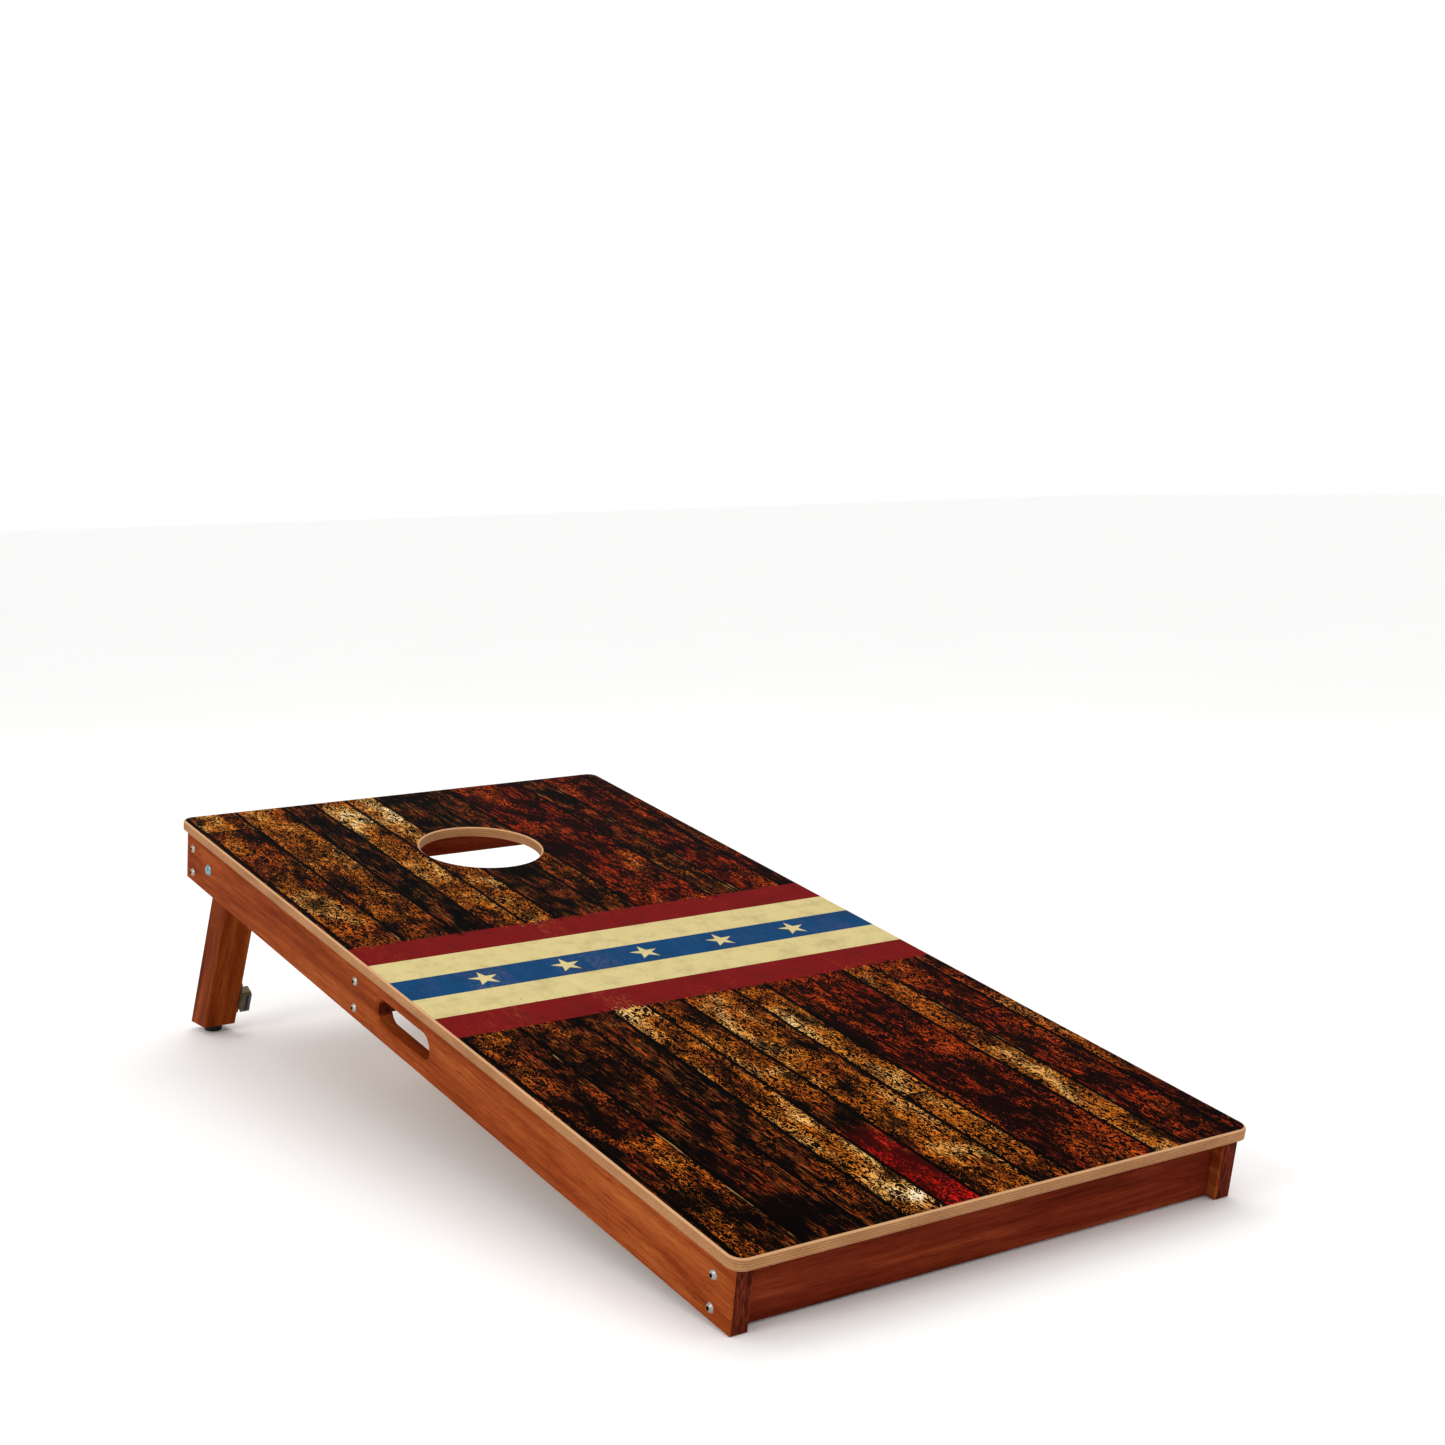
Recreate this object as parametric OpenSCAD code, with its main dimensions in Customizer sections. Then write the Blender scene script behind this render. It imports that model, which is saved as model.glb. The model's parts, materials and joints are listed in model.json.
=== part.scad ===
// Cornhole board: a tilted plywood deck with a target hole, on a rail frame with two folding legs.
// +X right, +Y from the low front edge to the high back edge, +Z up.
// Origin: on the ground, under the middle of the whole board as it stands.

/* [Deck] */
// Length of the deck, front edge to back edge
deck_length = 1219.2; // [1100:0.1:1300]
// Width of the deck
deck_width = 609.6; // [560:0.1:660]
// Thickness of the plywood with its printed film
deck_thick = 12; // [12:0.5:15]
// Radius of the deck's corners, seen from above
corner_radius = 15; // [8:0.5:25]
// Roundover along the top edges and round the target hole
edge_round = 2.5; // [1:0.5:4]
// Thickness of the printed film
film_thick = 0.3; // [0.2:0.1:0.6]
// Slope of the deck when the board stands, in degrees
tilt = 10.3; // [9:0.1:11]

/* [Target hole] */
// Diameter of the target hole
hole_diameter = 152.4; // [140:0.1:165]
// Distance from the hole's centre to the back edge
hole_from_back = 228.6; // [200:0.1:260]

/* [Rails] */
// Height of every rail, under the deck
rail_height = 65; // [62:1:75]
// Thickness of the side rails and the brace
side_thick = 20; // [17:1:22]
// Thickness of the front and back rails
end_thick = 36; // [30:1:38]
// Distance from the deck's side edge to a side rail
side_inset = 7; // [4:0.5:12]
// Distance from the deck's front edge to the side rails' ends
front_inset = 8.5; // [5:0.5:12]
// Distance from the deck's back edge to the side rails' ends
back_inset = 7.5; // [5:0.5:12]
// How far the front rail sits behind the side rails' ends
front_recess = 11.5; // [2:0.5:15]
// How far the back rail sits inside the side rails' ends
back_recess = 2.2; // [1:0.1:6]
// Distance from the deck's front edge to the middle of the brace
brace_from_front = 725; // [710:1:760]
// How far the brace stops short of the rails' lower edges
brace_short = 5; // [0:1:6]
// Width of the eased edge on the rails and legs
ease = 1.5; // [0.5:0.5:2]

/* [Handle slots] */
// Length of the hand slot through each side rail
slot_length = 120; // [100:1:130]
// Height of the hand slot
slot_height = 28; // [24:1:32]
// Distance from the deck's front edge to the middle of the slot
slot_from_front = 612; // [580:1:625]
// Chamfer round both mouths of the slot
slot_chamfer = 2.5; // [1:0.5:3]

/* [Legs] */
// Side of the square leg post
leg_size = 42; // [38:1:44]
// Lean of an open leg away from square to the deck, in degrees
leg_lean = 18; // [16:1:22]
// Height of the rubber foot
foot_height = 10; // [8:1:14]
// Diameter of the rubber foot
foot_diameter = 24; // [20:1:28]
// Distance from the leg's cut end to the middle of the catch, along the front face
catch_from_end = 40; // [20:1:60]

/* [Fasteners] */
// Diameter of the pivot bolt's shank
bolt_diameter = 6.4; // [6:0.2:8]
// Diameter of the pivot bolt's domed head
bolt_head = 14; // [13:0.5:18]
// Diameter of the rail screws' heads
screw_head = 10; // [8:0.5:11]
// Diameter over the rail screws' threads
screw_diameter = 4.6; // [4:0.2:5]
// Depth of the upper rail screws below the deck's top
screw_upper = 33; // [28:1:38]
// Depth of the lower rail screws below the deck's top
screw_lower = 64; // [60:1:67]

/* [Hidden] */
$fn = 64;

// Clearances: a sliding fit on the bolt, a thread in its hole, and faces that pass each other
run_fit = 0.07;
thread_fit = 0.05;
face_gap = 0.3;
past = 1;

// Colours of the finishes
rail_red = [0.50, 0.24, 0.13];
leg_red = [0.46, 0.21, 0.10];
birch = [0.80, 0.62, 0.42];
zinc = [0.76, 0.76, 0.78];
dark_steel = [0.30, 0.30, 0.32];

// Rails, in the deck's own frame: X across, Y up the deck from its front edge, Z square to it, 0 on top
rail_top = -deck_thick;
rail_mid = rail_top - rail_height / 2;
rail_bottom = rail_top - rail_height;
rail_out = deck_width / 2 - side_inset;
rail_in = rail_out - side_thick;
rail_front = front_inset;
rail_back = deck_length - back_inset;
front_face = rail_front + front_recess;
back_face = rail_back - back_recess;
back_inner = back_face - end_thick;
hole_y = deck_length - hole_from_back;
hole_radius = hole_diameter / 2;

// Pivot hardware along the bolt, measured inwards from the rail's outer face
washer_thick = 1.2;
washer_radius = 8.5;
leg_start = side_thick + washer_thick + face_gap;
leg_end = leg_start + leg_size;
nut_start = leg_end + face_gap + washer_thick;
nut_flats = 11.2;
nut_height = 5.6;
collar_height = 2.2;
bolt_length = nut_start + nut_height + collar_height + 2.5;
bolt_neck = 4;
bolt_head_height = 3.7;
bolt_thread = 18;

// The open leg rests on the eased inner edge of the back rail, which fixes the pivot
pivot_z = rail_mid;
stop_drop = rail_height / 2 - ease;
pivot_y = back_inner - (leg_size / 2 + face_gap + stop_drop * sin(leg_lean)) / cos(leg_lean);

// Standing height: the side rails' front corners and the feet touch the ground
ground = (rail_front + ease) * sin(tilt) + rail_bottom * cos(tilt);
ground_lean = tilt + leg_lean;
pivot_height = pivot_y * sin(tilt) + pivot_z * cos(tilt) - ground;
leg_length = (pivot_height - foot_height) / cos(ground_lean);
leg_skew = leg_size / 2 * tan(ground_lean);

// Middle of the standing board, from the rounded front edge to the legs' back corners
standing_front = edge_round * (sin(tilt) + cos(tilt) - 1) + film_thick * sin(tilt);
pivot_run = pivot_y * cos(tilt) - pivot_z * sin(tilt);
standing_back = pivot_run + (leg_length + leg_skew) * sin(ground_lean)
    + leg_size / 2 * cos(ground_lean);
middle = (standing_front + standing_back) / 2;

// Magnetic catch, on the leg's inner face
catch_width = 12;
catch_length = 29;
catch_proud = 8;
catch_depth = 16;
catch_wall = 2.6;
catch_ear = 9;
catch_ear_thick = 2;
pole_thick = 1.2;
pole_proud = 0.6;
pole_back = catch_proud - catch_depth + 4;
catch_along = leg_length - leg_skew - catch_from_end;
catch_screw_along = catch_length / 2 + catch_ear / 2;

// Strike plate under the deck, where the folded catch lands
strike_thick = 1.5;
strike_length = 56;
strike_width = 18;
strike_hole = strike_length / 2 - 7;
strike_y = pivot_y - catch_along;

// Pocket screws that hold the deck down
pocket_angle = 15;
pocket_radius = 4.75;
pocket_depth = 22;
pocket_reach = 45;
pocket_inset = 9;
deck_screw_radius = 2;
deck_screw_bite = 8;
side_pockets = [150, 340, 500, 820, 1020];
end_pockets = [-180, 0, 180];
brace_pockets = [-150, 150];

screw_length = 55;
screw_shank = 25;
screw_rows = [-screw_upper, -screw_lower];

// ---- Frames ----

// Places the deck's own frame as the board stands
module standing() {
    translate([0, -middle, -ground])
        rotate([tilt, 0, 0])
            children();
}

// Draws its children on the left, or mirrored on the right
module sided(right) {
    mirror([right ? 1 : 0, 0, 0])
        children();
}

// Leg frame on one side: X inwards from the leg's outer face, Y to the back, Z up the leg, 0 at the pivot
module leg_frame(right) {
    standing()
        sided(right)
            translate([-rail_out + leg_start, pivot_y, pivot_z])
                rotate([leg_lean, 0, 0])
                    children();
}

// Pivot frame on one side: Z runs inwards along the bolt from the rail's outer face
module bolt_frame(right) {
    standing()
        sided(right)
            translate([-rail_out, pivot_y, pivot_z])
                rotate([0, 90, 0])
                    children();
}

// Foot frame: Z up, 0 on the leg's cut end
module foot_frame(right) {
    leg_frame(right)
        translate([leg_size / 2, 0, -leg_length])
            rotate([-ground_lean, 0, 0])
                children();
}

// Catch frame: X inwards from the leg's inner face, Y forwards from its front face, Z up the leg
module catch_frame(right) {
    leg_frame(right)
        translate([leg_size, -leg_size / 2, -catch_along])
            mirror([0, 1, 0])
                children();
}

// Every rail screw of one rail: Z runs inwards from the side rail's outer face
module at_rail_screws(y) {
    for (right = [false, true], z = screw_rows)
        sided(right)
            translate([-rail_out, y, z])
                rotate([0, 90, 0])
                    children();
}

// One pocket screw: Z runs up the screw, 0 where it meets the deck; turn points to the open side
module at_pocket(x, y, turn) {
    translate([x, y, rail_top])
        rotate([0, 0, turn])
            rotate([0, -pocket_angle, 0])
                children();
}

module at_side_pockets(right) {
    for (y = side_pockets)
        sided(right)
            at_pocket(-rail_in - pocket_inset, y, 0)
                children();
}

module at_front_pockets() {
    for (x = end_pockets)
        at_pocket(x, front_face + end_thick - pocket_inset, 90)
            children();
}

module at_back_pockets() {
    for (x = end_pockets)
        at_pocket(x, back_inner + pocket_inset, -90)
            children();
}

module at_brace_pockets() {
    for (x = brace_pockets)
        at_pocket(x, brace_from_front + side_thick / 2 - pocket_inset, 90)
            children();
}

module at_all_pockets() {
    at_side_pockets(false) children();
    at_side_pockets(true) children();
    at_front_pockets() children();
    at_back_pockets() children();
    at_brace_pockets() children();
}

// ---- Shapes ----

// Rectangle with its corners cut off
module eased_rect(a, b, cut) {
    polygon([
        [cut, 0], [a - cut, 0], [a, cut], [a, b - cut],
        [a - cut, b], [cut, b], [0, b - cut], [0, cut]
    ]);
}

// Sawn board with every edge eased
module eased_board(x, y, z) {
    intersection() {
        linear_extrude(z) eased_rect(x, y, ease);
        translate([0, y, 0])
            rotate([90, 0, 0])
                linear_extrude(y) eased_rect(x, z, ease);
        rotate([90, 0, 90])
            linear_extrude(x) eased_rect(y, z, ease);
    }
}

// Rounded rectangle centred on X, from y = 0 to y = length
module rounded_sheet(width, length, radius, thick) {
    hull()
        for (x = [-1, 1], y = [radius, length - radius])
            translate([x * (width / 2 - radius), y, 0])
                cylinder(r = radius, h = thick, $fn = 48);
}

// Corner of the panel: a disc whose top edge is rounded over and whose bottom edge is eased
module panel_corner(top) {
    steps = 6;
    low = 0.8;
    arc = [for (i = [0:steps]) [
        corner_radius - edge_round + edge_round * cos(i * 90 / steps),
        top - edge_round + edge_round * sin(i * 90 / steps)
    ]];
    rotate_extrude($fn = 48)
        polygon(concat(
            [[0, -deck_thick], [corner_radius - low, -deck_thick], [corner_radius, low - deck_thick]],
            arc, [[0, top]]
        ));
}

// Cap of a ball on the z = 0 plane, rising towards -Z
module dome(radius, height) {
    ball = (radius * radius + height * height) / (2 * height);
    intersection() {
        translate([0, 0, ball - height])
            sphere(ball);
        translate([0, 0, -height - past])
            cylinder(r = radius, h = height + past);
    }
}

// Thread as a row of ridges from z = 0, with a pointed or a chamfered end
module ridges(radius, length, pitch, depth, point) {
    turns = floor((length - point) / pitch);
    rotate_extrude()
        polygon(concat(
            [[0, 0]],
            [for (i = [0:turns - 1], k = [0, 1])
                [k == 0 ? radius - depth : radius, (i + k * 0.5) * pitch]],
            [[radius - depth, turns * pitch], [radius - depth, length - point], [0, length]]
        ));
}

module washer(inner, outer, thick) {
    difference() {
        cylinder(r = outer, h = thick);
        translate([0, 0, -past])
            cylinder(r = inner, h = thick + 2 * past);
    }
}

// Countersunk wood screw along +Z, its head's face at z = 0
module flat_screw(radius, head_radius, length) {
    head = head_radius - radius;
    difference() {
        union() {
            cylinder(r1 = head_radius, r2 = radius, h = head);
            translate([0, 0, head])
                ridges(radius, length - head, 1.6, 0.35, 2);
        }
        cross_recess(1.2, head_radius);
    }
}

// Cross recess in a head whose face is at z = 0
module cross_recess(depth, size) {
    for (a = [0, 90])
        rotate([0, 0, a])
            translate([-size / 2, -0.45, -past])
                cube([size, 0.9, depth + past]);
}

// ---- Cuts ----

module slot_cut() {
    straight = slot_length - slot_height;
    depth = side_thick + 2 * past;
    wide = slot_height / 2 + slot_chamfer + past;
    translate([-rail_out - past, slot_from_front, rail_mid])
        rotate([0, 90, 0]) {
            translate([-slot_height / 2, -straight / 2, 0])
                cube([slot_height, straight, depth]);
            for (y = [-straight / 2, straight / 2])
                translate([0, y, 0]) {
                    cylinder(d = slot_height, h = depth);
                    cylinder(r1 = wide, r2 = slot_height / 2, h = slot_chamfer + past);
                    translate([0, 0, depth - slot_chamfer - past])
                        cylinder(r1 = slot_height / 2, r2 = wide, h = slot_chamfer + past);
                }
            translate([0, straight / 2, 0])
                rotate([90, 0, 0])
                    linear_extrude(straight)
                        for (flip = [0, 1])
                            translate([0, flip * depth])
                                mirror([0, flip])
                                    polygon([
                                        [-wide, 0], [wide, 0],
                                        [slot_height / 2, slot_chamfer + past],
                                        [-slot_height / 2, slot_chamfer + past]
                                    ]);
        }
}

module pocket_cut() {
    translate([0, 0, -pocket_depth])
        cylinder(r = deck_screw_radius + thread_fit, h = pocket_depth + deck_screw_bite + 0.5);
    translate([0, 0, -pocket_reach])
        cylinder(r = pocket_radius, h = pocket_reach - pocket_depth);
}

module rail_screw_cut() {
    translate([0, 0, -past])
        cylinder(d = screw_diameter + 2 * thread_fit, h = screw_length + 1 + past);
}

module bolt_cut() {
    neck = bolt_diameter + 2 * thread_fit;
    translate([0, 0, -past])
        cylinder(d = neck, h = side_thick + 2 * past);
    translate([-neck / 2, -neck / 2, -past])
        cube([neck, neck, bolt_neck + thread_fit + past]);
}

// Rounds the top rim of the target hole over
module rim_cut(top) {
    rotate_extrude()
        difference() {
            translate([hole_radius - past, top - edge_round])
                square([edge_round + past, edge_round + past]);
            translate([hole_radius + edge_round, top - edge_round])
                circle(r = edge_round);
        }
}

// ---- Deck ----

module deck_panel() {
    top = -film_thick;
    color(birch)
        standing()
            difference() {
                hull()
                    for (x = [-1, 1], y = [corner_radius, deck_length - corner_radius])
                        translate([x * (deck_width / 2 - corner_radius), y, 0])
                            panel_corner(top);
                translate([0, hole_y, 0]) {
                    translate([0, 0, -deck_thick - past])
                        cylinder(r = hole_radius, h = deck_thick + 2 * past, $fn = 128);
                    rim_cut(top);
                }
                at_all_pockets() pocket_cut();
                for (right = [false, true])
                    at_strike_screws(right)
                        cylinder(r = strike_screw_radius + thread_fit, h = strike_screw_length + 0.5);
            }
}

module deck_print() {
    color([0.24, 0.11, 0.06])
        standing()
            difference() {
                translate([0, edge_round, -film_thick])
                    rounded_sheet(deck_width - 2 * edge_round, deck_length - 2 * edge_round,
                        corner_radius - edge_round, film_thick);
                translate([0, hole_y, -film_thick - past])
                    cylinder(r = hole_radius + edge_round, h = film_thick + 2 * past, $fn = 128);
            }
}

// ---- Rails ----

module side_rail(right) {
    color(rail_red)
        standing()
            difference() {
                sided(right)
                    difference() {
                        translate([-rail_out, rail_front, rail_bottom])
                            eased_board(side_thick, rail_back - rail_front, rail_height);
                        slot_cut();
                        translate([-rail_out, pivot_y, pivot_z])
                            rotate([0, 90, 0])
                                bolt_cut();
                    }
                for (y = [front_face + end_thick / 2, brace_from_front, back_inner + end_thick / 2])
                    at_rail_screws(y) rail_screw_cut();
                at_side_pockets(right) pocket_cut();
            }
}

module side_rail_left() side_rail(false);
module side_rail_right() side_rail(true);

// Rail that runs across between the side rails, stopping short of their lower edges
module cross_rail(y, thick, short) {
    color(rail_red)
        standing()
            difference() {
                translate([-rail_in, y, rail_bottom + short])
                    eased_board(2 * rail_in, thick, rail_height - short);
                at_rail_screws(y + thick / 2) rail_screw_cut();
                children();
            }
}

module front_rail() cross_rail(front_face, end_thick, 0) at_front_pockets() pocket_cut();
module back_rail() cross_rail(back_inner, end_thick, 0) at_back_pockets() pocket_cut();

module cross_brace() {
    cross_rail(brace_from_front - side_thick / 2, side_thick, brace_short)
        at_brace_pockets() pocket_cut();
}

// ---- Screws of the frame ----

module rail_screw() {
    head_height = 3;
    socket = 4;
    socket_depth = 2.2;
    difference() {
        union() {
            dome(screw_head / 2, head_height);
            cylinder(d = screw_diameter, h = screw_shank);
            translate([0, 0, screw_shank])
                ridges(screw_diameter / 2, screw_length - screw_shank, 3, 0.7, 4);
        }
        translate([0, 0, -head_height - past])
            cylinder(d = socket / cos(30), h = past + socket_depth, $fn = 6);
    }
}

module rail_screws(y) {
    color(zinc)
        standing()
            at_rail_screws(y) rail_screw();
}

module front_rail_screws() rail_screws(front_face + end_thick / 2);
module back_rail_screws() rail_screws(back_inner + end_thick / 2);
module brace_screws() rail_screws(brace_from_front);

module deck_screw() {
    head_radius = 4;
    head_height = 2;
    shank = pocket_depth - 4;
    difference() {
        union() {
            translate([0, 0, -pocket_depth - head_height])
                cylinder(r = head_radius, h = head_height);
            translate([0, 0, -pocket_depth])
                cylinder(r = deck_screw_radius, h = shank);
            translate([0, 0, shank - pocket_depth])
                ridges(deck_screw_radius, pocket_depth + deck_screw_bite - shank, 2.4, 0.5, 3);
        }
        translate([-0.9, -0.9, -pocket_depth - head_height - past])
            cube([1.8, 1.8, past + 1.4]);
    }
}

module deck_screws() {
    color(zinc)
        standing()
            at_all_pockets() deck_screw();
}

// ---- Pivot ----

module pivot_bolt(right) {
    thread_start = bolt_length - bolt_thread;
    color(zinc)
        bolt_frame(right) {
            dome(bolt_head / 2, bolt_head_height);
            translate([-bolt_diameter / 2, -bolt_diameter / 2, 0])
                cube([bolt_diameter, bolt_diameter, bolt_neck]);
            cylinder(d = bolt_diameter, h = thread_start);
            translate([0, 0, thread_start])
                ridges(bolt_diameter / 2, bolt_thread, 1.27, 0.5, 1.5);
        }
}

module pivot_bolt_left() pivot_bolt(false);
module pivot_bolt_right() pivot_bolt(true);

module pivot_washer(right, start) {
    color(zinc)
        bolt_frame(right)
            translate([0, 0, start])
                washer(bolt_diameter / 2 + 0.1, washer_radius, washer_thick);
}

module rail_washer_left() pivot_washer(false, side_thick);
module rail_washer_right() pivot_washer(true, side_thick);
module nut_washer_left() pivot_washer(false, nut_start - washer_thick);
module nut_washer_right() pivot_washer(true, nut_start - washer_thick);

module lock_nut(right) {
    collar_radius = nut_flats / 2 - 0.4;
    color(zinc)
        bolt_frame(right)
            translate([0, 0, nut_start])
                difference() {
                    union() {
                        intersection() {
                            cylinder(d = nut_flats / cos(30), h = nut_height, $fn = 6);
                            cylinder(r1 = nut_flats / 2 - 0.2, r2 = nut_flats, h = nut_height);
                        }
                        translate([0, 0, nut_height])
                            cylinder(r = collar_radius, h = collar_height);
                    }
                    translate([0, 0, -past])
                        cylinder(d = bolt_diameter + 2 * thread_fit,
                            h = nut_height + collar_height + 2 * past);
                    translate([0, 0, nut_height - 0.4])
                        cylinder(r = collar_radius - 0.8, h = collar_height + past);
                }
}

module lock_nut_left() lock_nut(false);
module lock_nut_right() lock_nut(true);

module nut_insert(right) {
    color([0.16, 0.34, 0.62])
        bolt_frame(right)
            translate([0, 0, nut_start + nut_height - 0.4])
                washer(bolt_diameter / 2 + thread_fit, nut_flats / 2 - 1.2, collar_height);
}

module nut_insert_left() nut_insert(false);
module nut_insert_right() nut_insert(true);

// ---- Strike plates ----

strike_screw_radius = 1.5;
strike_screw_length = 9;
strike_screw_head = 3;
strike_x = -rail_out + leg_end + catch_width / 2;

// Strike screws of one side: Z runs up into the deck from its underside
module at_strike_screws(right) {
    for (end = [-1, 1])
        sided(right)
            translate([strike_x, strike_y + end * strike_hole, rail_top - strike_thick])
                children();
}

module strike_plate(right) {
    head = strike_screw_head + thread_fit;
    color(zinc)
        standing()
            difference() {
                sided(right)
                    translate([strike_x, strike_y, rail_top - strike_thick])
                        strike_blank();
                at_strike_screws(right) {
                    translate([0, 0, -past])
                        cylinder(r = strike_screw_radius + thread_fit, h = strike_thick + 2 * past);
                    translate([0, 0, -past])
                        cylinder(r1 = head + past, r2 = head - strike_thick, h = strike_thick + past);
                }
            }
}

// Plate with round ends, centred on its own middle
module strike_blank() {
    straight = strike_length - strike_width;
    translate([-strike_width / 2, -straight / 2, 0])
        cube([strike_width, straight, strike_thick]);
    for (y = [-straight / 2, straight / 2])
        translate([0, y, 0])
            cylinder(d = strike_width, h = strike_thick);
}

module strike_plate_left() strike_plate(false);
module strike_plate_right() strike_plate(true);

module strike_screws() {
    color(zinc)
        standing()
            for (right = [false, true])
                at_strike_screws(right)
                    flat_screw(strike_screw_radius, strike_screw_head, strike_screw_length);
}

// ---- Legs ----

// Half of the leg's section, from the pivot line to one face
module leg_half_section() {
    polygon([
        [0, 0], [leg_size / 2 - ease, 0], [leg_size / 2, ease],
        [leg_size / 2, leg_size - ease], [leg_size / 2 - ease, leg_size], [0, leg_size]
    ]);
}

module leg(right) {
    stock = leg_length + leg_skew + 10;
    color(leg_red)
        leg_frame(right)
            difference() {
                union() {
                    rotate([0, 90, 0])
                        rotate([0, 0, 90])
                            rotate_extrude(angle = 180)
                                leg_half_section();
                    translate([0, -leg_size / 2, -stock])
                        linear_extrude(stock)
                            eased_rect(leg_size, leg_size, ease);
                }
                translate([-past, 0, 0])
                    rotate([0, 90, 0])
                        cylinder(d = bolt_diameter + 2 * run_fit, h = leg_size + 2 * past);
                translate([0, 0, -leg_length])
                    rotate([-ground_lean, 0, 0])
                        translate([-past, -leg_size, -leg_size])
                            cube([leg_size + 2 * past, 2 * leg_size, leg_size]);
                translate([leg_size / 2, 0, -leg_length])
                    rotate([-ground_lean, 0, 0])
                        foot_screw_cut();
                translate([leg_size, -leg_size / 2, -catch_along])
                    mirror([0, 1, 0])
                        at_catch_screws()
                            cylinder(r = catch_screw_radius + thread_fit, h = catch_screw_length + 0.5);
            }
}

module leg_left() leg(false);
module leg_right() leg(true);

// ---- Feet ----

foot_floor = 3.5;
foot_well = 4.6;
foot_screw_radius = 2;
foot_screw_length = 20;

module foot_screw_cut() {
    translate([0, 0, -past])
        cylinder(r = foot_screw_radius + thread_fit, h = foot_screw_length + past);
}

module rubber_foot(right) {
    radius = foot_diameter / 2;
    soften = 1.2;
    color([0.06, 0.06, 0.06])
        foot_frame(right)
            translate([0, 0, -foot_height])
                rotate_extrude()
                    polygon([
                        [foot_well, 0], [radius - soften - 0.8, 0],
                        [radius - 0.8 - soften * 0.3, soften * 0.3], [radius - 0.8, soften],
                        [radius, foot_height - 1], [radius - 0.4, foot_height],
                        [foot_screw_radius + thread_fit, foot_height],
                        [foot_screw_radius + thread_fit, foot_height - foot_floor],
                        [foot_well, foot_height - foot_floor]
                    ]);
}

module rubber_foot_left() rubber_foot(false);
module rubber_foot_right() rubber_foot(true);

module foot_screw(right) {
    head = 2.4;
    color(zinc)
        foot_frame(right)
            translate([0, 0, -foot_floor])
                difference() {
                    union() {
                        dome(3.9, head);
                        ridges(foot_screw_radius, foot_screw_length, 2.4, 0.5, 3);
                    }
                    translate([0, 0, -head])
                        cross_recess(1.3, 4.4);
                }
}

module foot_screw_left() foot_screw(false);
module foot_screw_right() foot_screw(true);

// ---- Catches ----

catch_screw_radius = 1.5;
catch_screw_length = 12;
catch_screw_back = 6;

// Catch screws: Z runs outwards into the leg, 0 on its inner face
module at_catch_screws() {
    for (end = [-1, 1])
        translate([0, -catch_screw_back, end * catch_screw_along])
            rotate([0, -90, 0])
                children();
}

module catch_housing(right) {
    bevel = 2;
    half = catch_length / 2;
    back = catch_depth - catch_proud;
    color([0.42, 0.36, 0.28])
        catch_frame(right)
            difference() {
                union() {
                    translate([0, -back, 0])
                        rotate([90, 0, 90])
                            linear_extrude(catch_width)
                                polygon([
                                    [0, -half], [catch_depth, -half], [catch_depth, half - bevel],
                                    [catch_depth - bevel * 2, half], [0, half]
                                ]);
                    translate([0, -catch_screw_back - 4, -half - catch_ear])
                        cube([catch_ear_thick, 8, catch_length + 2 * catch_ear]);
                }
                translate([catch_wall, pole_back, catch_wall - half])
                    cube([catch_width - 2 * catch_wall, catch_depth, catch_length - 2 * catch_wall]);
                at_catch_screws() {
                    translate([0, 0, -catch_ear_thick - past])
                        cylinder(r = catch_screw_radius + 0.2, h = catch_ear_thick + 2 * past);
                }
            }
}

module catch_housing_left() catch_housing(false);
module catch_housing_right() catch_housing(true);

// Space inside the housing for the magnet and its plates
pocket_width = catch_width - 2 * catch_wall;
pocket_length = catch_length - 2 * catch_wall;

module catch_magnet(right) {
    color([0.12, 0.11, 0.11])
        catch_frame(right)
            translate([catch_wall + pole_thick, pole_back, -pocket_length / 2])
                cube([pocket_width - 2 * pole_thick, catch_proud - 0.8 - pole_back, pocket_length]);
}

module catch_magnet_left() catch_magnet(false);
module catch_magnet_right() catch_magnet(true);

module pole_plates(right) {
    color(dark_steel)
        catch_frame(right)
            for (x = [catch_wall, catch_width - catch_wall - pole_thick])
                translate([x, pole_back, -pocket_length / 2])
                    cube([pole_thick, catch_proud + pole_proud - pole_back, pocket_length]);
}

module pole_plates_left() pole_plates(false);
module pole_plates_right() pole_plates(true);

module catch_screws(right) {
    head = 1.8;
    color(zinc)
        catch_frame(right)
            at_catch_screws()
                translate([0, 0, -catch_ear_thick])
                    difference() {
                        union() {
                            dome(2.9, head);
                            ridges(catch_screw_radius, catch_screw_length + catch_ear_thick, 1.6, 0.35, 2);
                        }
                        translate([0, 0, -head])
                            cross_recess(1, 3.2);
                    }
}

module catch_screws_left() catch_screws(false);
module catch_screws_right() catch_screws(true);

deck_panel();
deck_print();
side_rail_left();
side_rail_right();
front_rail();
back_rail();
cross_brace();
front_rail_screws();
back_rail_screws();
brace_screws();
deck_screws();
pivot_bolt_left();
pivot_bolt_right();
rail_washer_left();
rail_washer_right();
nut_washer_left();
nut_washer_right();
lock_nut_left();
lock_nut_right();
nut_insert_left();
nut_insert_right();
strike_plate_left();
strike_plate_right();
strike_screws();
leg_left();
leg_right();
rubber_foot_left();
rubber_foot_right();
foot_screw_left();
foot_screw_right();
catch_housing_left();
catch_housing_right();
catch_magnet_left();
catch_magnet_right();
pole_plates_left();
pole_plates_right();
catch_screws_left();
catch_screws_right();
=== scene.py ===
"""Cornhole board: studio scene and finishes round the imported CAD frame. Metres, in the row's own frame."""
import json
import math

import bpy
from mathutils import Matrix, Vector


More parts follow.
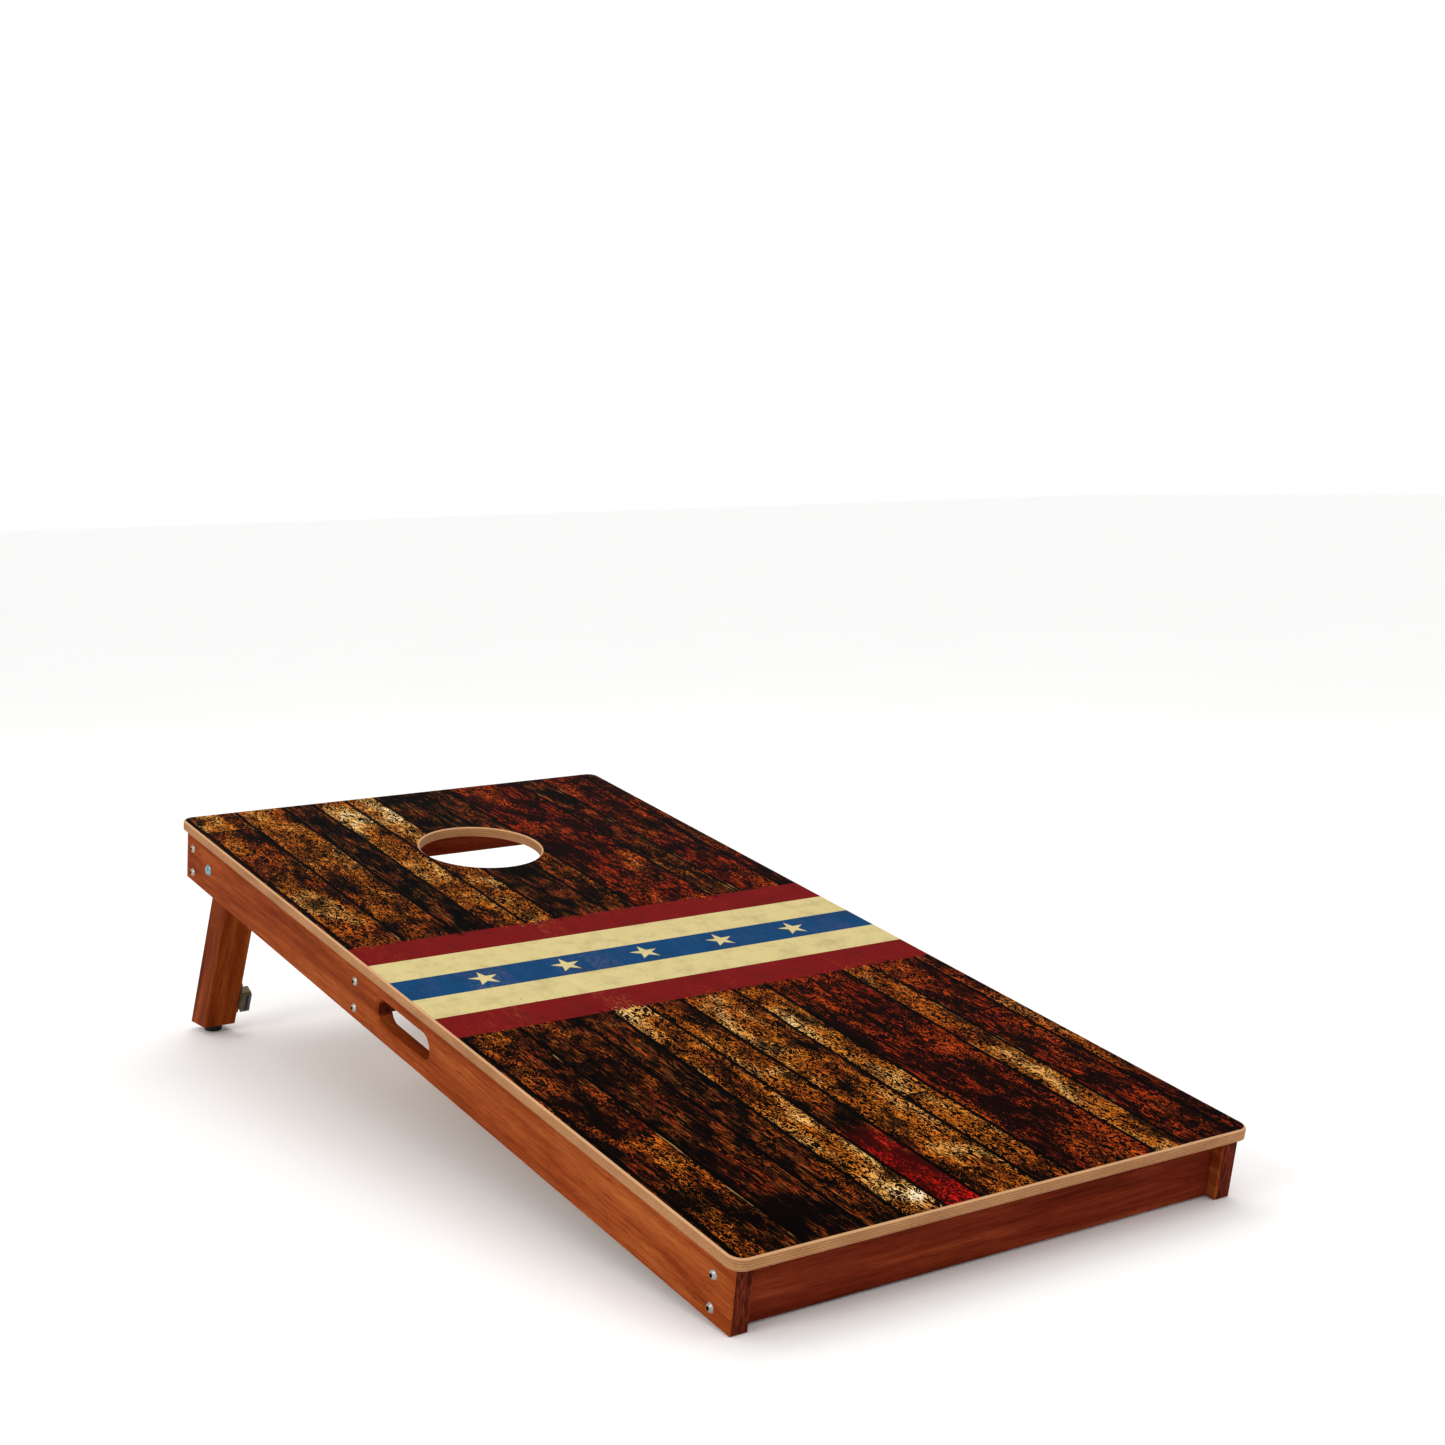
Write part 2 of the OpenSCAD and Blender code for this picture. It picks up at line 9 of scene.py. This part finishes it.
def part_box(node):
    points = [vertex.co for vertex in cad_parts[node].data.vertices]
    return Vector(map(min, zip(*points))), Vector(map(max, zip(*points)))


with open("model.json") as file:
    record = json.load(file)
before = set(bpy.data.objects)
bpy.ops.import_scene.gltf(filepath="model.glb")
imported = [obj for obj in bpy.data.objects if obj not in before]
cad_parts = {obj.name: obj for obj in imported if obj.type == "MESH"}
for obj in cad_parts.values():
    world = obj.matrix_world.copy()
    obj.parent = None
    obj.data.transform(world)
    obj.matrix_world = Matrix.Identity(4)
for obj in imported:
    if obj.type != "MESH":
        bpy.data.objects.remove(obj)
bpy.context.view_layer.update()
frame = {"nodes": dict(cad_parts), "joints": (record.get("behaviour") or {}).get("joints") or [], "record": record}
NODES = frame["nodes"]
MOUNTS = {m["name"]: m for m in frame["record"]["mounts"]}
JOINTS = {j["name"]: j for j in frame["joints"]}
SIDES = ("left", "right")


# ---------------------------------------------------------------- places worked out from the frame

NORMAL = Vector(MOUNTS["deck_top"]["axis"]).normalized()
ACROSS = Vector((1, 0, 0))
UP_DECK = NORMAL.cross(ACROSS)


def span(node, axis):
    """Lowest and highest place of a CAD node along a direction."""
    reach = [v.co.dot(axis) for v in NODES[node].data.vertices]
    return min(reach), max(reach)


DECK_FRONT, DECK_BACK = span("deck_panel", UP_DECK)
DECK_LENGTH = DECK_BACK - DECK_FRONT
DECK_UNDER, DECK_TOP = span("deck_panel", NORMAL)
DECK_THICK = DECK_TOP - DECK_UNDER
DECK_ORIGIN = UP_DECK * DECK_FRONT + NORMAL * DECK_TOP
DECK_AXES = (ACROSS, UP_DECK, NORMAL)


def leg_axes(side):
    """Across, back and up directions of an open leg, from its pivot and its foot."""
    pivot = Vector(JOINTS[f"leg_{side}_fold"]["pos_m"])
    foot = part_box(f"rubber_foot_{side}")
    low = Vector((pivot.x, (foot[0].y + foot[1].y) / 2, foot[1].z))
    up = (pivot - low).normalized()
    return ACROSS, up.cross(ACROSS) * -1, up


# ---------------------------------------------------------------- colours and shader fields

def srgb(code):
    """Linear colour of a #rrggbb code."""
    parts = [int(code[i:i + 2], 16) / 255 for i in (1, 3, 5)]
    return tuple(c / 12.92 if c <= 0.04045 else ((c + 0.055) / 1.055) ** 2.4 for c in parts) + (1.0,)


class Field:
    """A number that varies over a surface, built from shader math nodes."""

    def __init__(self, shader, painted_socket_shade):
        self.shader = shader
        self.painted_socket_shade = painted_socket_shade

    def math(self, operation, *others):
        node = self.shader.add("ShaderNodeMath", operation=operation)
        for slot, value in zip(node.inputs, (self, *others)):
            self.shader.feed(slot, value)
        return Field(self.shader, node.outputs[0])

    def __add__(self, other):
        return self.math("ADD", other)

    def __sub__(self, other):
        return self.math("SUBTRACT", other)

    def __mul__(self, other):
        return self.math("MULTIPLY", other)

    def __truediv__(self, other):
        return self.math("DIVIDE", other)

    def __neg__(self):
        return self.math("MULTIPLY", -1.0)

    def __abs__(self):
        return self.math("ABSOLUTE")

    def floor(self):
        return self.math("FLOOR")

    def fract(self):
        return self.math("FRACT")

    def power(self, exponent):
        return self.math("POWER", exponent)

    def wrap(self, low, high):
        return self.math("WRAP", high, low)

    def smallest(self, other):
        return self.math("MINIMUM", other)

    def largest(self, other):
        return self.math("MAXIMUM", other)

    def invert(self):
        """One minus the field."""
        return self.math("MULTIPLY_ADD", -1.0, 1.0)

    def step(self, low, high):
        """0 below low and 1 above high, with a smooth rise between."""
        node = self.shader.add("ShaderNodeMapRange", interpolation_type="SMOOTHSTEP")
        self.shader.feed(node.inputs["Value"], self)
        node.inputs["From Min"].default_value = low
        node.inputs["From Max"].default_value = high
        return Field(self.shader, node.outputs["Result"])


class Shader:
    """One material, with short calls for the nodes that the finishes here use."""

    def __init__(self, name, origin=Vector(), axes=DECK_AXES):
        self.material = bpy.data.materials.new(name)
        self.material.use_nodes = True
        self.tree = self.material.node_tree
        self.bsdf = self.tree.nodes["Principled BSDF"]
        self.place = self.add("ShaderNodeTexCoord")
        self.origin = origin
        self.axes = axes

    def add(self, kind, **settings):
        node = self.tree.nodes.new(kind)
        for key, value in settings.items():
            setattr(node, key, value)
        return node

    def feed(self, painted_socket_shade, value):
        if isinstance(value, Field):
            self.tree.links.new(value.painted_socket_shade, painted_socket_shade)
        elif isinstance(value, bpy.types.NodeSocket):
            self.tree.links.new(value, painted_socket_shade)
        else:
            painted_socket_shade.default_value = value

    def along(self, index):
        """Distance along one axis of the material's frame, in metres."""
        shifted = self.add("ShaderNodeVectorMath", operation="SUBTRACT")
        self.feed(shifted.inputs[0], self.place.outputs["Object"])
        self.feed(shifted.inputs[1], self.origin)
        return self.dot(shifted.outputs[0], self.axes[index])

    def facing(self, index):
        """How squarely the surface faces one axis of the material's frame, from 0 to 1."""
        return abs(self.dot(self.place.outputs["Normal"], self.axes[index]))

    def dot(self, painted_socket_shade, direction):
        node = self.add("ShaderNodeVectorMath", operation="DOT_PRODUCT")
        self.feed(node.inputs[0], painted_socket_shade)
        self.feed(node.inputs[1], direction)
        return Field(self, node.outputs["Value"])

    def vector(self, x, y=0.0, z=0.0):
        node = self.add("ShaderNodeCombineXYZ")
        for slot, value in zip(node.inputs, (x, y, z)):
            self.feed(slot, value)
        return node.outputs[0]

    def noise(self, x, y, z=0.0, detail=3.0, roughness=0.5, distortion=0.0):
        """Fractal noise about 0.5 over already scaled places."""
        node = self.add("ShaderNodeTexNoise")
        self.feed(node.inputs["Vector"], self.vector(x, y, z))
        node.inputs["Scale"].default_value = 1.0
        node.inputs["Detail"].default_value = detail
        node.inputs["Roughness"].default_value = roughness
        node.inputs["Distortion"].default_value = distortion
        return Field(self, node.outputs["Fac"])

    def chance(self, x, y=0.0, z=0.0):
        """One random number for each whole-number place."""
        node = self.add("ShaderNodeTexWhiteNoise")
        self.feed(node.inputs["Vector"], self.vector(x, y, z))
        return Field(self, node.outputs["Value"])

    def ramp(self, field, stops):
        """Colour from a row of (place, colour) stops."""
        node = self.add("ShaderNodeValToRGB")
        points = node.color_ramp.elements
        while len(points) < len(stops):
            points.new(0.5)
        for point, (place, colour) in zip(points, stops):
            point.position = place
            point.color = srgb(colour)
        self.feed(node.inputs[0], field)
        return node.outputs["Color"]

    def mix(self, amount, first, second):
        """Second colour over the first, by amount."""
        node = self.add("ShaderNodeMix", data_type="RGBA")
        self.feed(node.inputs[0], amount)
        for slot, value in ((node.inputs[6], first), (node.inputs[7], second)):
            self.feed(slot, srgb(value) if isinstance(value, str) else value)
        return node.outputs[2]

    def bump(self, height, distance, strength=1.0):
        node = self.add("ShaderNodeBump")
        node.inputs["Strength"].default_value = strength
        node.inputs["Distance"].default_value = distance
        self.feed(node.inputs["Height"], height)
        self.feed(self.bsdf.inputs["Normal"], node.outputs["Normal"])

    def finish(self, colour, roughness, **uniform):
        """Feeds colour and roughness, and sets the uniform values on the shader's own sockets."""
        self.feed(self.bsdf.inputs["Base Color"], colour)
        self.feed(self.bsdf.inputs["Roughness"], roughness)
        for key, value in uniform.items():
            self.bsdf.inputs[key.replace("_", " ")].default_value = value
        return self.material


# ---------------------------------------------------------------- wood

def stained_wood(name, axes, seed, dark, mid, light):
    """Red-brown stained hardwood whose grain runs along the first axis."""
    s = Shader(name, axes=axes)
    grain, wide, deep = (s.along(i) + seed * (0.37 + i) for i in range(3))
    broad = s.noise(grain * 1.8, wide * 24, deep * 24, detail=4, distortion=0.8)
    figure = s.noise(grain * 6, wide * 85, deep * 85, detail=5, roughness=0.6, distortion=0.4)
    fibre = s.noise(grain * 24, wide * 620, deep * 620, detail=3, roughness=0.6)
    pores = s.noise(grain * 60, wide * 1500, deep * 1500, detail=1).step(0.58, 0.68)
    blotch = s.noise(grain * 6, wide * 13, deep * 13, detail=2)
    tone = broad * 0.55 + figure * 0.45 + fibre * 0.30 + blotch * 0.25 - 0.275
    face = s.ramp(tone, [(0.30, dark), (0.49, mid), (0.70, light)])
    face = s.mix(pores * 0.5, face, dark)
    rings = s.noise(grain * 4, wide * 260, deep * 60, detail=4, distortion=1.2)
    ends = s.ramp(rings, [(0.35, "#35120a"), (0.55, "#5b2315"), (0.75, "#74311f")])
    colour = s.mix(s.facing(0).step(0.75, 0.95), face, ends)
    s.bump(fibre * 0.6 + figure * 0.5 - pores * 0.5, 0.00035, 0.5)
    return s.finish(colour, fibre * 0.2 + blotch * 0.12 + 0.30, Specular_IOR_Level=0.006)


PLIES = 9


def birch_ply():
    """Birch plywood: veneer faces, and alternate plies on every sawn edge."""
    s = Shader("birch_ply", origin=DECK_ORIGIN)
    wide, grain, depth = (s.along(i) for i in range(3))
    fibre = s.noise(wide * 520, grain * 14, detail=4, roughness=0.6)
    broad = s.noise(wide * 22, grain * 2.5, detail=3, distortion=0.8)
    veneer = s.ramp(fibre * 0.45 + broad * 0.55, [(0.3, "#98683f"), (0.5, "#b98a5b"), (0.7, "#cfa676")])
    wave = s.noise(wide * 9, grain * 9, detail=2) * 0.0004
    layer = (depth + wave) * (-PLIES / DECK_THICK)
    glue = abs(layer.fract() - 0.5).step(0.40, 0.49)
    crossed = (layer * 0.5).fract().step(0.48, 0.52)
    short = s.noise(wide * 240, grain * 240, depth * 1600, detail=3, roughness=0.7)
    stain = s.noise(wide * 18, grain * 18, depth * 60, detail=3)
    lengthwise = s.ramp(short * 0.6 + stain * 0.4, [(0.3, "#8f5f3d"), (0.5, "#ab7b52"), (0.7, "#c4966a")])
    endwise = s.ramp(short * 0.6 + stain * 0.4, [(0.3, "#7c5034"), (0.5, "#986a46"), (0.7, "#ad7f58")])
    edge = s.mix(crossed, lengthwise, endwise)
    edge = s.mix(glue * 0.35, edge, "#5f3a22")
    # Lighter band along the top of every sawn edge: partly the face veneer on the round-over, partly a painted
    # highlight.
    veneer_and_highlight_lip = (-depth).step(0.0022, 0.0004)
    edge = s.mix(veneer_and_highlight_lip * 0.55, edge, "#dcae80")
    flat = s.facing(2).step(0.80, 0.97) * (-depth).step(0.0030, 0.0060)
    colour = s.mix(flat, edge, veneer)
    s.bump(fibre * flat + (short * 0.7 - glue * 0.5) * flat.invert(), 0.0003, 0.45)
    return s.finish(colour, short * 0.2 + 0.40, Specular_IOR_Level=0.03)


# ---------------------------------------------------------------- printed film

# Printed boards: left edge from the deck's middle, lightness of the back and front ends, redness
BOARDS = (
    (-0.305, 0.30, 0.22, 0.30),
    (-0.298, 0.42, 0.34, 0.30),
    (-0.233, 0.52, 0.08, 0.15),
    (-0.168, 0.06, 0.22, 0.10),
    (-0.125, 0.58, 0.62, 0.05),
    (-0.080, 0.62, 0.40, 0.10),
    (-0.038, 0.08, 0.48, 0.10),
    (0.030, 0.20, 0.54, 0.10),
    (0.070, 0.30, 0.34, 0.80),
    (0.176, 0.22, 0.54, 0.35),
    (0.216, 0.26, 0.32, 0.75),
    (0.280, 0.18, 0.34, 0.60),
)
RED_BOARD = 5

# Painted bands: straight across the middle of the deck, back to front
BAND_INKS = ("#731314", "#d2c187", "#12426c", "#d2c187", "#731314")
BAND_WIDTH = DECK_LENGTH / 24
BANDS_REACH = BAND_WIDTH * len(BAND_INKS) / 2
STAR_COUNT = 5
STAR_SPACING = BAND_WIDTH * 2
STAR_RADIUS = BAND_WIDTH * 0.36


def board_layout(across):
    """Number, back and front lightness and redness of a printed board, and how far its seam is."""
    number = 0.0
    traits = list(BOARDS[0][1:])
    seam = 1.0
    for (edge, *here), (_, *before) in zip(BOARDS[1:], BOARDS):
        past = across.math("GREATER_THAN", edge)
        number = past + number
        changes = zip(here, before, traits)
        traits = [past.math("MULTIPLY_ADD", new - old, total) for new, old, total in changes]
        seam = abs(across - edge).smallest(seam)
    return number, *traits, seam


def ridge(field, sharpness):
    """Bright lines where a noise crosses its middle."""
    return (abs(field - 0.5) * -sharpness + 1.0).largest(0.0)


def planks(s, across, down):
    """Old boards that run down the deck, with seams, dark and light clouds and cracked grain, and a painted
    highlight beside some seams.
    """
    wander = (s.noise(across * 8, down * 9, detail=2) - 0.5) * 0.006
    number, back, front, redness, seam = board_layout(across + wander)
    joint = s.chance(number, 4.0) * 1.1
    beyond = down.math("GREATER_THAN", joint)
    shift = number * 7.3 + beyond * 3.1
    drift = (s.noise(across * 7, down * 3, shift, detail=2) - 0.5) * 0.5
    light = back + (front - back) * (down + drift).step(0.52, 0.86)
    cloud = s.noise(across * 17, down * 7, shift, detail=5, roughness=0.62, distortion=0.6)
    light = light + (cloud - 0.5) * 1.7 + (beyond - 0.5) * (s.chance(number, 6.0) - 0.5) * 0.3 - 0.06
    red = (redness + s.noise(across * 12, down * 6, shift + 20, detail=4) * 1.6 - 0.8).step(0.15, 0.85)
    ember = abs(number - RED_BOARD).step(0.6, 0.4) * (down + drift * 0.2).step(1.03, 1.08)

    dark = s.ramp(light, [(0.10, "#010000"), (0.40, "#070200"), (0.70, "#150802"), (0.95, "#301a08")])
    dark = s.mix(red * 0.7, dark, "#140201")
    bright = s.ramp(light, [
        (0.05, "#8a3410"), (0.30, "#a4480f"), (0.52, "#c8701c"), (0.74, "#e6b060"), (0.95, "#f8e8c0"),
    ])
    bright = s.mix(red * 0.75, bright, "#b02c08")
    bright = s.mix(ember, bright, "#c0140a")
    dark = s.mix(ember, dark, "#340202")

    worm = ridge(s.noise(across * 190, down * 80, shift, detail=1.5, roughness=0.5, distortion=1.6), 8.5)
    line = ridge(s.noise(across * 230, down * 24, shift, detail=3, roughness=0.55, distortion=1.0), 8.5)
    lined = light.step(0.40, 0.12)
    crack = worm + (line - worm) * lined
    clump = s.noise(across * 45, down * 20, shift + 3.0, detail=3, roughness=0.6).step(0.36, 0.62)
    mask = (crack + light * 0.52 + clump * 0.26).step(0.96, 1.26)
    colour = s.mix(mask, dark, bright)
    fibre = s.noise(across * 260, down * 13, shift + 9.0, detail=2, distortion=0.6)
    thread = ridge(fibre, 12.0).step(0.80, 0.98)
    colour = s.mix(thread * lined * clump * red.invert() * 0.55, colour, "#c0722c")
    knots = s.noise(across * 26, down * 11, shift + 5.0, detail=4, roughness=0.6).step(0.56, 0.68)
    colour = s.mix(knots * 0.85, colour, "#040100")
    colour = s.mix(abs(down - joint).step(0.0016, 0.0005), colour, "#020000")

    # Painted highlight: thin light lines beside some seams, on boards picked at random and away from the deck's
    # long edges.
    painted_highlight_patches = s.noise(across * 5, down * 12, detail=5, roughness=0.7).step(0.53, 0.66)
    painted_highlight_boards = s.chance(number, 9.0).step(0.55, 0.57) * painted_highlight_patches
    painted_seam_highlight = abs(seam - 0.0028).step(0.0011, 0.0003) * painted_highlight_boards * abs(across).step(0.270, 0.262)
    colour = s.mix(painted_seam_highlight * 0.85, colour, "#c99a58")
    return s.mix(seam.step(0.0038, 0.0012), colour, "#020000")


def star(x, y, radius):
    """Five-pointed star, positive inside: y runs down, so the top point faces up."""
    angle = x.math("ARCTAN2", -y)
    sector = 2 * math.pi / 5
    turned = abs(angle.wrap(-sector / 2, sector / 2))
    length = (x * x + y * y).power(0.5)
    edge = length * (turned - math.radians(72)).math("COSINE")
    return -edge + radius * math.cos(math.radians(72))


def painted_bands(s, across, middle):
    """Plain bands of ink, with a row of plain stars on the middle one."""
    ink = BAND_INKS[0]
    for number, code in enumerate(BAND_INKS[1:], start=1):
        edge = number * BAND_WIDTH - BANDS_REACH
        ink = s.mix((middle - edge).step(-0.0003, 0.0003), ink, code)
    row = across.wrap(-STAR_SPACING / 2, STAR_SPACING / 2)
    inside = (-abs(across) + STAR_SPACING * STAR_COUNT / 2).step(0.0, 0.0004)
    stars = star(row, middle, STAR_RADIUS).step(-0.0003, 0.0003) * inside
    ink = s.mix(stars, ink, BAND_INKS[1])
    dulled = s.noise(across * 30, middle * 30, 9.0, detail=5, roughness=0.7).step(0.42, 0.78)
    return s.mix(dulled * 0.3, ink, "#1b1712")


def printed_film():
    """Print on the deck: weathered planks with worn paint in plain bands across them."""
    s = Shader("deck_print", origin=DECK_ORIGIN)
    across = s.along(0)
    down = -s.along(1) + DECK_LENGTH
    wood = planks(s, across, down)

    middle = down - DECK_LENGTH / 2
    inks = painted_bands(s, across, middle)
    chips = s.noise(across * 130, down * 110, 5.0, detail=5, roughness=0.7)
    worn = s.noise(across * 11, down * 11, 2.0, detail=2).step(0.45, 0.70)
    rim = -abs(middle) + BANDS_REACH
    kept = (chips - worn * 0.08 + rim.step(0.0, 0.020) * 0.12).step(0.38, 0.42)
    colour = s.mix(rim.step(-0.0006, 0.0006) * kept * 0.92, wood, inks)

    peel = s.noise(across * 700, down * 700, detail=2)
    scratch = s.noise(across * 40, down * 900, 4.0, detail=2).step(0.62, 0.72)
    s.bump(peel * 0.6 + scratch * 0.1, 0.00008, 0.35)
    return s.finish(colour, peel * 0.10 + scratch * 0.06 + 0.42, Specular_IOR_Level=0.003)


# ---------------------------------------------------------------- metal, rubber and plastic

def plated_steel(name, base, roughness, painted_socket_shade=0.0):
    """Zinc plate with faint clouding, fine scratches and dull spots, and painted shade darkening the hex sockets.
    """
    s = Shader(name)
    x, y, z = (s.along(i) for i in range(3))
    cloud = s.noise(x * 160, y * 160, z * 160, detail=3)
    brushed = s.noise(x * 2600, y * 900, z * 2600, detail=3, roughness=0.7)
    spots = s.noise(x * 900, y * 900, z * 900, detail=3).step(0.62, 0.74)
    colour = s.ramp(cloud, [(0.32, base[0]), (0.5, base[1]), (0.68, base[2])])
    colour = s.mix(spots * 0.35, colour, "#4c4944")
    face = s.facing(0)
    # Painted shade: near black where the surface faces squarely along the deck's width or lies almost square to
    # it, which darkens the hex sockets of screws driven along that axis.
    colour = s.mix(face.step(0.94, 0.98).largest(face.step(0.30, 0.15)) * painted_socket_shade, colour, "#0c0b0a")
    s.bump(brushed + spots * 0.5, 0.00006, 0.5)
    return s.finish(colour, brushed * 0.2 + spots * 0.2 + roughness, Metallic=1.0)


def foot_rubber():
    s = Shader("foot_rubber")
    x, y, z = (s.along(i) for i in range(3))
    mould = s.noise(x * 1400, y * 1400, z * 1400, detail=3, roughness=0.6)
    dust = s.noise(x * 90, y * 90, z * 90, detail=4).step(0.45, 0.75)
    colour = s.mix(dust * 0.5, "#0e0e0f", "#2b2927")
    s.bump(mould, 0.00012, 0.6)
    return s.finish(colour, mould * 0.2 + dust * 0.15 + 0.55, Specular_IOR_Level=0.3)


def catch_enamel():
    s = Shader("catch_enamel")
    x, y, z = (s.along(i) for i in range(3))
    grit = s.noise(x * 1800, y * 1800, z * 1800, detail=3)
    rub = s.noise(x * 220, y * 220, z * 220, detail=4).step(0.55, 0.7)
    colour = s.mix(grit * 0.4, "#5d5138", "#3c3322")
    colour = s.mix(rub * 0.35, colour, "#8d8064")
    s.bump(grit, 0.0001, 0.6)
    return s.finish(colour, grit * 0.25 + 0.35, Metallic=0.35)


def ferrite():
    s = Shader("ferrite")
    x, y, z = (s.along(i) for i in range(3))
    grain = s.noise(x * 2400, y * 2400, z * 2400, detail=4, roughness=0.7)
    colour = s.ramp(grain, [(0.35, "#0c0a0b"), (0.55, "#1a1617"), (0.75, "#302a2a")])
    s.bump(grain, 0.00008, 0.7)
    return s.finish(colour, grain * 0.3 + 0.45)


def nylon_ring():
    s = Shader("nylon_ring")
    x, y, z = (s.along(i) for i in range(3))
    mottle = s.noise(x * 700, y * 700, z * 700, detail=3)
    colour = s.mix(mottle, "#1b4f93", "#3c78bd")
    s.bump(mottle, 0.00005, 0.4)
    return s.finish(colour, mottle * 0.15 + 0.3)


# ---------------------------------------------------------------- which node takes which finish

def paint(nodes, material):
    """Puts one material on CAD nodes, in every slot that they have."""
    for name in nodes:
        mesh = NODES[name].data
        if not mesh.materials:
            mesh.materials.append(material)
        for i in range(len(mesh.materials)):
            mesh.materials[i] = material


RAIL = ("#541a09", "#863b17", "#a95c2c")
# Painted shade: a darker copy of the side rails' stain, for the front rail, back rail and brace, which stand in
# less light than the side rails.
CROSS_STAIN_SHADED = ("#401108", "#692513", "#8a3c20")
LEG = ("#4a1706", "#7a3411", "#a05424")
ALONG_RAIL = (UP_DECK, ACROSS, NORMAL)
ALONG_CROSS = (ACROSS, UP_DECK, NORMAL)


def paint_everything():
    paint(["deck_panel"], birch_ply())
    paint(["deck_print"], printed_film())
    for seed, side in enumerate(SIDES, 1):
        paint([f"side_rail_{side}"], stained_wood(f"rail_{side}_wood", ALONG_RAIL, seed, *RAIL))
        across, back, up = leg_axes(side)
        paint([f"leg_{side}"], stained_wood(f"leg_{side}_wood", (up, across, back), seed + 2, *LEG))
    # The front rail, back rail and brace take the darker, painted-shade copy of the stain.
    for seed, name in enumerate(("front_rail", "back_rail", "cross_brace"), 5):
        paint([name], stained_wood(f"{name}_wood", ALONG_CROSS, seed, *CROSS_STAIN_SHADED))
    # The button heads get painted shade in their hex sockets.
    button = plated_steel("button_head_zinc", ("#8f8a80", "#a9a59d", "#8d959b"), 0.24, painted_socket_shade=0.9)
    paint(["front_rail_screws", "back_rail_screws", "brace_screws"], button)
    zinc = plated_steel("zinc_plate", ("#8f8c85", "#a3a19c", "#87929a"), 0.20)
    paint(["deck_screws", "strike_screws"], zinc)
    chromate = plated_steel("blue_chromate_zinc", ("#3f6f84", "#6f93a0", "#a2b3b6"), 0.22)
    paint([f"pivot_bolt_{side}" for side in SIDES], chromate)
    for part in ("rail_washer", "nut_washer", "lock_nut", "strike_plate",
                 "foot_screw", "catch_screws"):
        paint([f"{part}_{side}" for side in SIDES], zinc)
    oiled = plated_steel("oiled_steel", ("#4b4a4c", "#5c5b5d", "#6c6b6e"), 0.30)
    paint([f"pole_plates_{side}" for side in SIDES], oiled)
    paint([f"nut_insert_{side}" for side in SIDES], nylon_ring())
    paint([f"rubber_foot_{side}" for side in SIDES], foot_rubber())
    paint([f"catch_housing_{side}" for side in SIDES], catch_enamel())
    paint([f"catch_magnet_{side}" for side in SIDES], ferrite())


# ---------------------------------------------------------------- studio

def make_camera():
    """Camera low at the front left, a little above the board."""
    heading, dip, roll = (math.radians(a) for a in (32.7, 8.67, -1.24))
    ahead = Vector((math.sin(heading) * math.cos(dip), math.cos(heading) * math.cos(dip), -math.sin(dip)))
    level = ahead.cross(Vector((0, 0, 1))).normalized()
    above = level.cross(ahead)
    right = level * math.cos(roll) + above * math.sin(roll)
    up = above * math.cos(roll) - level * math.sin(roll)
    data = bpy.data.cameras.new("camera")
    data.lens = 54.2
    data.sensor_width = 36
    data.shift_x, data.shift_y = 0.057, 0.054
    data.clip_start, data.clip_end = 0.05, 100
    camera = bpy.data.objects.new("camera", data)
    turn = Matrix((right, up, -ahead)).transposed().to_4x4()
    camera.matrix_world = Matrix.Translation((-1.277, -2.023, 0.713)) @ turn
    bpy.context.scene.collection.objects.link(camera)
    bpy.context.scene.camera = camera


def make_light(name, place, target, size, power, tint):
    data = bpy.data.lights.new(name, "AREA")
    data.shape = "DISK"
    data.size = size
    data.energy = power
    data.color = tint
    light = bpy.data.objects.new(name, data)
    light.location = place
    light.rotation_mode = "QUATERNION"
    light.rotation_quaternion = (Vector(target) - Vector(place)).to_track_quat("-Z", "Y")
    bpy.context.scene.collection.objects.link(light)


def make_floor():
    size = 30
    mesh = bpy.data.meshes.new("floor")
    corners = [(-size, -size, 0), (size, -size, 0), (size, size, 0), (-size, size, 0)]
    mesh.from_pydata(corners, [], [(0, 1, 2, 3)])
    floor = bpy.data.objects.new("floor", mesh)
    bpy.context.scene.collection.objects.link(floor)
    s = Shader("floor_paint")
    x, y = s.along(0), s.along(1)
    haze = s.noise(x * 1.5, y * 1.5, detail=3)
    paper = s.mix(haze, "#f8f8f7", "#fcfcfb")
    mesh.materials.append(s.finish(paper, haze * 0.1 + 0.7, Specular_IOR_Level=0.1))


def make_studio():
    make_camera()
    make_floor()
    make_light("key", (-2.9, -0.9, 2.0), (0, 0, 0.1), 1.2, 26, (1.0, 0.97, 0.93))
    make_light("top", (0.6, 1.2, 3.4), (0, 0, 0.1), 2.2, 18, (1.0, 1.0, 1.0))
    world = bpy.data.worlds.new("studio")
    world.use_nodes = True
    backdrop = world.node_tree.nodes["Background"]
    backdrop.inputs["Color"].default_value = (1, 1, 1, 1)
    backdrop.inputs["Strength"].default_value = 1.0
    bpy.context.scene.world = world
    bpy.context.scene.view_settings.view_transform = "Standard"


paint_everything()
make_studio()
